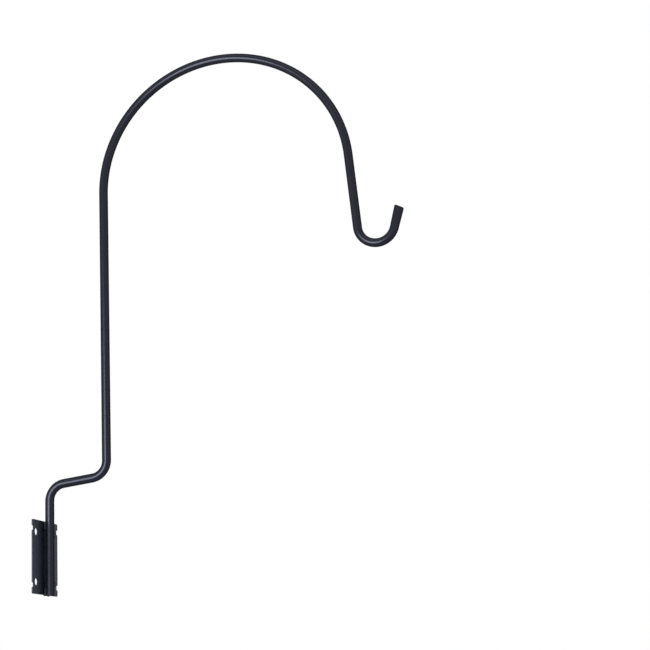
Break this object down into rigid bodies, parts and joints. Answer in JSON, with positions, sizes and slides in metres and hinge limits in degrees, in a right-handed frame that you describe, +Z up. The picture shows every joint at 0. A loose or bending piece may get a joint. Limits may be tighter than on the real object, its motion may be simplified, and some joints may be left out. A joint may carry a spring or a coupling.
{
  "type": "rail mount plant hook",
  "caption": "Bent round steel rod welded to a flat screw plate: it steps out past a rail's cap, climbs, arches over and ends in an upturned hook that holds a hanging pot.",
  "frame": {"origin": "middle of the plate's back face, the face that lies against the rail", "axes": "+X out from the rail along the hook's reach, +Y along the rail, +Z up"},
  "size_m": [0.3984, 0.0636, 0.5678],
  "materials": {
    "rod_coating": "satin black powder coat on round steel rod",
    "plate_coating": "satin black powder coat on flat sheet steel",
    "weld_coating": "satin black powder coat over rippled fillet welds"
  },
  "bodies": {
    "root": {"mounting_plate": "plate_coating", "hook_rod": "rod_coating", "upper_left_weld": "weld_coating", "upper_right_weld": "weld_coating", "lower_left_weld": "weld_coating", "lower_right_weld": "weld_coating"}
  },
  "joints": []
}
